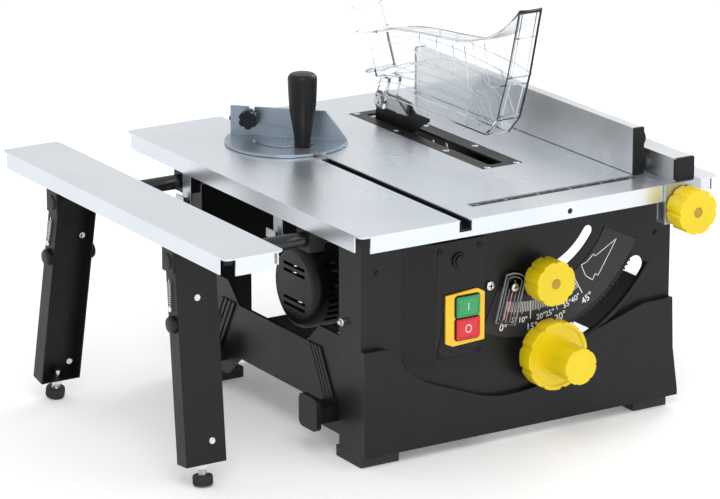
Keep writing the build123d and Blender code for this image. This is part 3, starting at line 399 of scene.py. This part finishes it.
def screw_head(shape, cross, place, out, radius, height=1.6):
    """A pan head, added to shape, with the shade of its cross recess painted as two thin dark bars, added to
    cross.
    """
    shape.lathe([(0.01, 0), (radius, 0), (radius, height * 0.35), (radius * 0.86, height * 0.75),
                 (radius * 0.55, height), (0.01, height)], place, out, 28)
    u = Vector(out).orthogonal().normalized()
    v = Vector(out).cross(u)
    u, v = (u + v).normalized(), (v - u).normalized()
    top = place + Vector(out) * (height - 0.02) / 1000
    bar = rectangle(-radius * 0.55, radius * 0.55, -radius * 0.13, radius * 0.13)
    for a, b in ((u, v), (v, -u)):
        cross.prism(bar, top, a, b, 0.06)


# ---- table: ruler and hooks ---------------------------------------------------------------------
RULER_ZERO = 161.5
RULER_STEP = 2
RULER_EDGE = 47.4
RULER_TOP = 0.28
ruler = Shape().prism(rectangle(159, 364, 38, 48), at(0, 0, 0.02), X, Y, 0.25)
ruler.make("ruler_strip", "print", "base")
ticks = Shape()
for i in range(101):
    x = RULER_ZERO + RULER_STEP * i
    length = 6.5 if i % 10 == 0 else 4.6 if i % 5 == 0 else 2.8
    outline = rectangle(x - 0.22, x + 0.22, RULER_EDGE - length, RULER_EDGE)
    ticks.prism(outline, at(0, 0, RULER_TOP), X, Y, 0.03)
ticks.make("ruler_ticks", "mark", "base")
for i in range(0, 11, 2):
    inward = 4 if i == 0 else -4 if i == 10 else 0
    place = at(RULER_ZERO + 20 * i + inward, 40, RULER_TOP)
    lettering(f"ruler_number_{i}", str(20 - i), 3.4, place, X, Y, "base")


def hook(shape, y0, y1, low):
    """A bent strip of plated sheet hanging under the table's left edge."""
    for outline in ([(-8.2, low - 1.4), (2.2, low - 1.4), (2.2, low - 0.2), (-8.2, low - 0.2)],
                    [(0.6, low - 1.4), (1.45, low - 1.4), (1.45, -18.2), (0.6, -18.2)],
                    [(-8.4, low - 1.4), (-7.2, low - 1.4), (-7.2, low + 8), (-8.4, low + 8)]):
        shape.prism(outline, at(0, y1, 0), X, Z, y1 - y0)


hooks = Shape()
hook(hooks, 347, 364, -48)
hook(hooks, 154, 172, -38)
hooks.make("table_hooks", "clamp", "base", edge=0.25)

# ---- tilt scale ---------------------------------------------------------------------------------
TILT = (248, -10)
FACE = 61.12
SCALE_ZERO = -15
NUMBER_ZERO = -14.2
TICK_RADIUS = 112


def around(radius, angle, y):
    """A point round the tilt axis: angle in degrees from straight down, positive to the right."""
    a = math.radians(angle)
    return at(TILT[0] + radius * math.sin(a), y, TILT[1] - radius * math.cos(a))


def tangents(angle):
    a = math.radians(angle)
    return Vector((math.cos(a), 0, math.sin(a))), Vector((-math.sin(a), 0, math.cos(a)))


marks = Shape()
for degree in range(0, 46):
    right, up = tangents(degree + SCALE_ZERO)
    long = 20 if degree % 15 == 0 else 13 if degree % 5 == 0 else 11
    width = 0.5 if degree % 15 == 0 else 0.32
    place = around(TICK_RADIUS, degree + SCALE_ZERO, FACE)
    marks.prism(rectangle(-width, width, -long, 0), place, right, up, 0.08)
marks.make("scale_marks", "mark", "base")
for degree in range(0, 50, 5):
    right, up = tangents(degree + SCALE_ZERO)
    size, radius = (10.5, 141) if degree % 15 == 0 else (8.5, 132)
    place = around(radius, degree + NUMBER_ZERO, FACE)
    lettering(f"scale_number_{degree:02d}", f"{degree}°", size, place, right, up, "base", depth=0.08)

arrow = Shape()
outline = [(357, -71), (330, -86), (327.5, -83.5), (319, -91), (312, -93), (318, -106), (327, -112),
           (330, -105.5), (334, -108)]
for i, (x0, z0) in enumerate(outline):
    x1, z1 = outline[(i + 1) % len(outline)]
    run = Vector((x1 - x0, 0, z1 - z0))
    arrow.prism(rectangle(-0.35, run.length + 0.35, -0.4, 0.4), at(x0, FACE, z0), run,
                Vector((-run.z, 0, run.x)), 0.1)
arrow.make("direction_arrow", "mark", "base")

# Grey tubes round the clear pointer window and two lines inside it: painted highlights for the window's
# bright edges.
window_highlight_tubes = Shape()
right, up = tangents(SCALE_ZERO)
centre_line = around(0, SCALE_ZERO, 56.4)
for inset, width in ((0.6, 1.0), (4.2, 0.5)):
    half = 13 - inset
    path = [centre_line - up * r / 1000 + right * w / 1000
            for r, w in ((83 + inset, -half), (80 + inset, -4), (80 + inset, 4), (83 + inset, half),
                         (136 - inset, half), (136 - inset, -half), (83 + inset, -half))]
    window_highlight_tubes.tube(path, width, 8)
for w in (-4.5, 4.5):
    window_highlight_tubes.tube([centre_line - up * r / 1000 + right * w / 1000 for r in (98, 134)], 0.5, 8)
window_highlight_tubes.make("pointer_window_painted_highlights", "edge", "cradle", smooth=True)

window_line = Shape()
window_line.prism(rectangle(-0.5, 0.5, -24, 22), around(110, SCALE_ZERO, 56.7), right, up, 0.1)
window_line.make("pointer_line", "line", "cradle")
heads, recess_shade_bars = Shape(), Shape()
screw_head(heads, recess_shade_bars, at(223.4, 54.2, -101.8), -Y, 4.6)
heads.make("pointer_screw", "chrome", "cradle", smooth=True)
# Dark bars painting the shade of the pointer screw's cross recess.
recess_shade_bars.make("pointer_screw_painted_recess_shade", "print", "cradle")

# ---- front panel: screws and switch -------------------------------------------------------------
SIDE_SCREW_Z = -119
BUTTON_X = 159
BUTTON_Z = {"start": -109, "stop": -133}
SYMBOL_Y = 43.98
heads, recess_shade_bars = Shape(), Shape()
screw_head(heads, recess_shade_bars, at(196, 59.5, -97), -Y, 5.2, 1.6)
for x, out in ((36.8, -X), (430.2, X)):
    for y in (94, 402):
        place = at(x, y, SIDE_SCREW_Z)
        heads.lathe([(0.01, 0), (4.6, 0), (4.6, 2.6), (0.01, 2.6)], place, out, 6)
        heads.lathe([(2.5, 0), (2.5, 5.0), (2.0, 5.5), (0.01, 5.5)], place, out, 24)
for x in (254.5, 292):
    for y in (155.5, 236, 335, 418.5):
        heads.lathe([(0.01, 0), (4.0, 0), (3.4, 0.5), (0.01, 0.7)], at(x, y, -0.3), Z, 28)
dark_heads = Shape()
for x in (127, 176):
    for z in (-161, -47):
        dark_heads.lathe([(0.01, 0), (3.5, 0), (3.5, 0.5), (2.6, 0.9), (1.6, 0.9), (1.4, 0.3), (0.01, 0.3)],
                         at(x, 50.05, z), -Y, 24)
dark_heads.make("switch_box_screws", "print", "base", smooth=True)
dark_heads = Shape()
for x, z in ((409, -73), (58, -62)):
    dark_heads.lathe([(0.01, 0), (2.9, 0), (2.9, 0.8), (2.2, 1.4), (0.01, 1.4)], at(x, 62, z), -Y, 20)
dark_heads.make("panel_rivets", "print", "base", smooth=True)
heads.make("panel_screws", "chrome", "base", smooth=True)
# Dark bars painting the shade of the front screw's cross recess.
recess_shade_bars.make("screw_recess_painted_shade", "print", "base")

lip = Shape()
lip.tube([around(177.5, angle / 2, 60.2) for angle in range(0, 117)], 3.0, 12)
lip.tube([around(151.5, angle / 2, 61.4) for angle in range(84, 117)], 1.3, 10)
lip.make("crank_slot_lip", "skirt", "base", smooth=True)

reset_ring = Shape().lathe([(5.6, 0), (8.4, 0), (8.4, 1.6), (7.6, 2.6), (6.0, 2.6), (5.6, 2.0)],
                           at(150, 50, -59), -Y)
reset_ring.make("reset_collar", "black", "base", smooth=True, edge=0.2)


def frame_path(x0, x1, z0, z1, radius, y):
    """A closed rounded rectangle facing the front."""
    path = []
    for cx, cz, start in ((x1 - radius, z1 - radius, 0), (x0 + radius, z1 - radius, 90),
                          (x0 + radius, z0 + radius, 180), (x1 - radius, z0 + radius, 270)):
        for k in range(7):
            a = math.radians(start + 15 * k)
            path.append(at(cx + radius * math.cos(a), y, cz + radius * math.sin(a)))
    return path + path[:1]


bezels = Shape()
for z in BUTTON_Z.values():
    bezels.tube(frame_path(144.2, 173.8, z - 11.7, z + 11.7, 3.0, 46.9), 1.0, 8)
bezels.make("button_bezels", "print", "base", smooth=True)
for body, look in (("start", "green"), ("stop", "red")):
    z = BUTTON_Z[body]
    dish = Shape().tube(frame_path(146.6, 171.4, z - 9.4, z + 9.4, 3.0, 43.9), 0.7, 8)
    dish.make(f"{body}_button_rim", look, body, smooth=True)
bar = Shape().prism(rectangle(-0.4, 0.4, -4.0, 4.0), at(BUTTON_X, SYMBOL_Y, BUTTON_Z["start"]), X, Z, 0.08)
bar.make("start_symbol", "mark", "start")
ring = Shape()
for k in range(32):
    a0, a1 = math.tau * k / 32, math.tau * (k + 1) / 32
    corners = ((3.1, a0), (3.9, a0), (3.9, a1), (3.1, a1))
    quad = [(r * math.cos(a), r * 1.15 * math.sin(a)) for r, a in corners]
    ring.prism(quad, at(BUTTON_X, SYMBOL_Y, BUTTON_Z["stop"]), X, Z, 0.08)
ring.make("stop_symbol", "mark", "stop")

# ---- knobs --------------------------------------------------------------------------------------
plug = [(0.01, 0), (5.3, 0), (5.3, 2.0), (4.8, 2.5), (0.01, 2.5)]
LOCK_RADIUS = 86
LOCK_ANGLE = 5
for name, place, body in (("lock_knob_plug", around(LOCK_RADIUS, LOCK_ANGLE, 27), "lock"),
                          ("fence_knob_plug", at(396, -27.5, -26), "fence_lock")):
    Shape().lathe(plug, place, -Y).make(name, "plug", body, smooth=True, edge=0.1)

# ---- fence: end caps, studs and washers ---------------------------------------------------------
caps = Shape()
cap_outline = [(387.6, 2.6), (388.6, 1.4), (411.4, 1.4), (412.4, 2.6), (412.4, 25.0), (411.4, 26.1),
               (388.6, 26.1), (387.6, 25.0)]
for y in (4.3, 473.4):
    caps.prism(cap_outline, at(0, y, 0), X, Z, 3.7)
caps.make("fence_bar_caps", "print", "fence", edge=0.5)
studs = Shape()
for y in (64, 376):
    for z, r in ((38, 5.0), (10, 6.2)):
        studs.lathe([(0.01, 0), (r, 0), (r + 0.5, 0.7), (r + 0.5, 4.4), (r, 5.0), (0.01, 5.0)],
                    at(380.4, y - 4, z), X, 18)
studs.make("fence_studs", "chrome", "fence", edge=0.25)
rosettes = Shape()
for y in (58, 370):
    rosettes.lathe([(0.01, 0), (8.0, 0), (8.6, 0.8), (8.6, 3.2), (7.6, 4.0), (0.01, 4.0)],
                   at(381.0, y, 38), X, 26)
    rosettes.lathe([(0.01, 0), (6.2, 0), (6.8, 0.8), (6.8, 2.6), (0.01, 3.0)], at(381.0, y, 19), X, 20)
rosettes.make("fence_washers", "print", "fence", edge=0.2)


# ---- folding legs: springs, bushes, bolts -------------------------------------------------------
def coil(shape, start, end, radius, wire, turns):
    """A tension spring with straight hooked ends."""
    axis = end - start
    u = axis.orthogonal().normalized()
    v = axis.normalized().cross(u)
    n = turns * 18
    points = [start]
    for i in range(n + 1):
        share = 0.14 + 0.72 * i / n
        angle = math.tau * i / 18
        points.append(start + axis * share + (u * math.cos(angle) + v * math.sin(angle)) * radius / 1000)
    points.append(end)
    shape.tube(points, wire, 8)


# Each leg's pivot y, its lean in degrees and its length.
LEGS = {"front": (126, -5, 215), "rear": (378, 13, 218.9)}
LEG_X = -124
LEG_SIDES = ((-147.5, -X), (-100.5, X))
PIVOT_Z = -32
SPRING_END = 50
for leg, (pivot, lean, length) in LEGS.items():
    a = math.radians(lean)
    down = Vector((0, math.sin(a), -math.cos(a)))
    front = Vector((0, -math.cos(a), -math.sin(a)))
    body = f"{leg}_leg"

    def on_leg(x, along, out):
        return at(x, pivot, PIVOT_Z) + (down * along + front * out) / 1000

    bushes = Shape()
    for x, out in ((-151.6, -X), (-96.6, X)):
        bushes.lathe([(0.01, 0), (8.5, 0), (8.5, 1.2), (7.4, 2.4), (3, 2.6), (0.01, 2.6)],
                     at(x, pivot, PIVOT_Z) - out * 0.0019, out)
    bushes.make(f"{leg}_pivot_bushes", "black", "extension", smooth=True, edge=0.15)
    spring = Shape()
    for x in (-149.6, -98.6):
        coil(spring, on_leg(x, 17.5, 0), on_leg(x, SPRING_END, -2), 1.8, 0.45, 11)
    spring.make(f"{leg}_leg_springs", "chrome", body, smooth=True)
    bolts = Shape()
    for x, out in LEG_SIDES:
        bolts.lathe([(0.01, 0), (3.4, 0), (3.4, 2.4), (2.8, 3.0), (0.01, 3.0)],
                    on_leg(x, SPRING_END, -2), out, 6)
    bolts.make(f"{leg}_leg_bolts", "chrome", body, edge=0.2)
    stops = Shape()
    for x, out in LEG_SIDES:
        stops.lathe([(0.01, 0), (9.0, 0), (9.0, 3.5), (7.6, 5.4), (3.0, 6.0), (0.01, 6.0)],
                    on_leg(x, 66, 0), out)
    stops.make(f"{leg}_leg_stops", "black", body, smooth=True, edge=0.3)
    eyelets = Shape()
    for along, across in ((length - 24, 8), (40, 9 if leg == "rear" else 0)):
        eyelets.lathe([(2.0, 0), (3.6, 0), (3.6, 0.6), (2.6, 0.9), (2.0, 0.4)],
                      on_leg(LEG_X + across, along, 10), front)
    eyelets.make(f"{leg}_leg_eyelets", "chrome", body, smooth=True)
    foot = Shape()
    foot.lathe([(4.05, 0), (4.05, 23)], on_leg(LEG_X, length - 10, 0), down, 32)
    for i in range(7):
        foot.lathe([(3.9, 0), (4.4, 0.5), (3.9, 1.0)], on_leg(LEG_X, length + 5.6 + 1.05 * i, 0), down, 24)
    foot.lathe([(4.1, 0), (8.1, 0), (8.1, 5), (4.1, 5)], on_leg(LEG_X, length + 0.4, 0), down, 6)
    foot.make(f"{leg}_foot_nut", "chrome", f"{leg}_foot", edge=0.15)
    grips = Shape()
    for k in range(28):
        turn = math.tau * k / 28
        rim = (X * math.cos(turn) + front * math.sin(turn)) * 0.0100
        grips.tube([on_leg(LEG_X, length + along, 0) + rim for along in (14.2, 21.5)], 0.55, 6)
    grips.make(f"{leg}_foot_ribs", "rubber", f"{leg}_foot", smooth=True)


# ---- blade guard: ribs, rims and the pivot bolt -------------------------------------------------
GUARD_SIDES = (259.2, 284.8)


def guard_wire(name, points, radius):
    """A moulded line through (y, z) points, on both sides of the guard."""
    shape = Shape()
    for x in GUARD_SIDES:
        shape.tube([at(x, y, z) for y, z in points], radius, 8)
    shape.make(name, "ridge", "guard", smooth=True)


def curve_through(points, steps=10):
    """Smooth points through a few, Catmull-Rom fashion."""
    result = []
    ends = [points[0]] + list(points) + [points[-1]]
    for i in range(1, len(ends) - 2):
        p0, p1, p2, p3 = ends[i - 1:i + 3]
        for k in range(steps):
            t = k / steps
            result.append(tuple(
                0.5 * (2 * b + (c - a) * t + (2 * a - 5 * b + 4 * c - d) * t * t
                       + (3 * b - a - 3 * c + d) * t ** 3) for a, b, c, d in zip(p0, p1, p2, p3)))
    result.append(points[-1])
    return result


rim_top = curve_through([(103, 180), (129, 158), (160, 141), (201, 128), (260, 121), (335, 113), (376, 103),
                         (404, 97)])
guard_wire("guard_rim_top", rim_top, 0.75)
guard_wire("guard_rim_low", [(162, 33.5), (250, 33.5), (330, 33.5), (355, 33.5)], 0.6)
guard_wire("guard_rim_nose", [(103, 180), (123, 104), (142, 53), (162, 33.5)], 0.7)
panel_line = curve_through([(395, 79), (353, 95), (330, 95), (305, 95), (298, 84), (307, 72), (328, 71),
                            (351, 68), (374, 71), (395, 79)])
guard_wire("guard_panel_line", panel_line, 0.6)
second_line = curve_through([(353, 101), (308, 110), (258, 115), (204, 114), (156, 111), (118, 106)])
guard_wire("guard_second_line", second_line, 0.6)
PORT_TILT = 25
collar = Shape()
lean = math.radians(PORT_TILT)
port = Vector((0, math.sin(lean), math.cos(lean)))
for along, r, thick in ((18, 18.2, 0.6), (45.4, 17.2, 0.5)):
    u, v = X, port.cross(X)
    centre = at(272, 407, 80) + port * along / 1000
    collar.tube([centre + (u * math.cos(math.tau * k / 36) + v * math.sin(math.tau * k / 36)) * r / 1000
                 for k in range(37)], thick, 8)
collar.make("guard_port_rings", "ridge", "guard", smooth=True)
sweep = curve_through([(387, 51), (343, 70), (297, 84), (257, 87), (213, 83), (174, 69), (152, 49)])
guard_wire("guard_sweep_a", sweep, 0.8)
guard_wire("guard_sweep_b", curve_through([(390, 49), (323, 62), (262, 61), (213, 55), (176, 41)]), 0.7)
guard_wire("guard_sweep_c", curve_through([(390, 44), (330, 52), (270, 51), (225, 44), (200, 36)]), 0.6)
rib_lines = [[(175, 99), (150, 53)], [(191, 81), (169, 48)], [(155, 87), (127, 95)], [(230, 118), (222, 85)],
             [(262, 118), (258, 87)], [(296, 116), (293, 85)], [(207, 121), (198, 80)]]
for i, line in enumerate(rib_lines):
    guard_wire(f"guard_rib_{i}", line, 0.6)
ribs = Shape()
for y, z in ((112, 148), (125, 103), (140, 58), (104, 179.5), (160, 35)):
    ribs.tube([at(x, y, z) for x in (258, 286)], 0.9, 8)
for x in (263, 281):
    ribs.tube([at(x, y, z) for y, z in ((104.5, 178), (124.2, 103), (143, 54))], 0.55, 8)
ribs.make("guard_front_ribs", "ridge", "guard", smooth=True)
pimples = Shape()
for row in range(4):
    for k in range(5):
        place = at(257, 172 + 8 * row - 2.4 * k, 46 + 8 * k)
        pimples.lathe([(1.1, 0), (0.8, 0.5), (0.01, 0.8)], place, -X, 10)
pimples.make("guard_pimples", "ridge", "guard", smooth=True)

pivot_bolt = Shape()
for x, out in ((281, X), (263, -X)):
    pivot_bolt.lathe([(0.01, 0), (6.0, 0), (6.0, 1.0), (4.4, 1.0), (4.4, 4.2), (3.6, 4.8), (0.01, 4.8)],
                     at(x, 386, 21), out, 6)
pivot_bolt.make("guard_pivot_bolt", "chrome", "guard", edge=0.2)
pawl = Shape()
for x in (264.6, 277.4):
    pawl.prism([(330, 16), (352, 14), (372, 22), (372, 30), (350, 27)], at(x, 0, 0), Y, Z, 2.0)
pawl.make("guard_pawls", "steel", "saw_unit", edge=0.3)

# ---- blade tips ---------------------------------------------------------------------------------
TEETH = 24
tips = Shape()
for k in range(TEETH):
    angle = math.tau * k / TEETH
    u = Vector((0, math.cos(angle), math.sin(angle)))
    v = Vector((0, -math.sin(angle), math.cos(angle)))
    tips.prism([(98.5, 5.2), (104.9, 5.2), (104.9, 6.9), (98.5, 6.9)], at(270.85, 268, -106), u, v, 2.3)
tips.make("blade_tips", "brass", "arbor")

# ---- floor, light, camera -----------------------------------------------------------------------
floor_z = cad_box[0].z - 0.0004
mesh = bpy.data.meshes.new("floor")
mesh.from_pydata([(x, y, floor_z) for x, y in rectangle(-9, 9, -9, 14)], [], [(0, 1, 2, 3)])
floor = bpy.data.objects.new("floor", mesh)
scene.collection.objects.link(floor)
floor_material, _, floor_shader, _ = new_material("floor", (0.93, 0.93, 0.935), 0.85)
floor_shader.inputs["Emission Color"].default_value = (1, 1, 1, 1)
floor_shader.inputs["Emission Strength"].default_value = 0.16
mesh.materials.append(floor_material)

world = bpy.data.worlds.new("studio")
world.use_nodes = True
background = world.node_tree.nodes["Background"]
background.inputs["Color"].default_value = (1, 1, 1, 1)
background.inputs["Strength"].default_value = 0.85
scene.world = world


def area_light(name, place, target, size, power):
    """A square light in metres and watts, facing the target."""
    light = bpy.data.lights.new(name, "AREA")
    light.energy = power
    light.size = size
    obj = bpy.data.objects.new(name, light)
    obj.location = place
    obj.rotation_euler = (Vector(target) - Vector(place)).to_track_quat("-Z", "Y").to_euler()
    scene.collection.objects.link(obj)


area_light("key", (-0.9, -1.5, 1.9), (0, 0, 0.2), 1.2, 16)
area_light("rim", (1.7, 0.7, 1.4), (0, 0, 0.2), 0.9, 12)
area_light("front", (0.6, -2.2, 0.5), (0, 0, 0.15), 1.2, 3)

camera_data = bpy.data.cameras.new("camera")
camera_data.lens = 195.8
camera_data.sensor_width = 36
camera = bpy.data.objects.new("camera", camera_data)
camera.location = at(-1968.7, -3180.3, 1112.4)
camera.rotation_mode = "QUATERNION"
camera.rotation_quaternion = Vector((0.504, 0.8144, -0.2877)).to_track_quat("-Z", "Y")
camera_data.clip_end = 100
scene.collection.objects.link(camera)
scene.camera = camera
scene.view_settings.view_transform = "Standard"
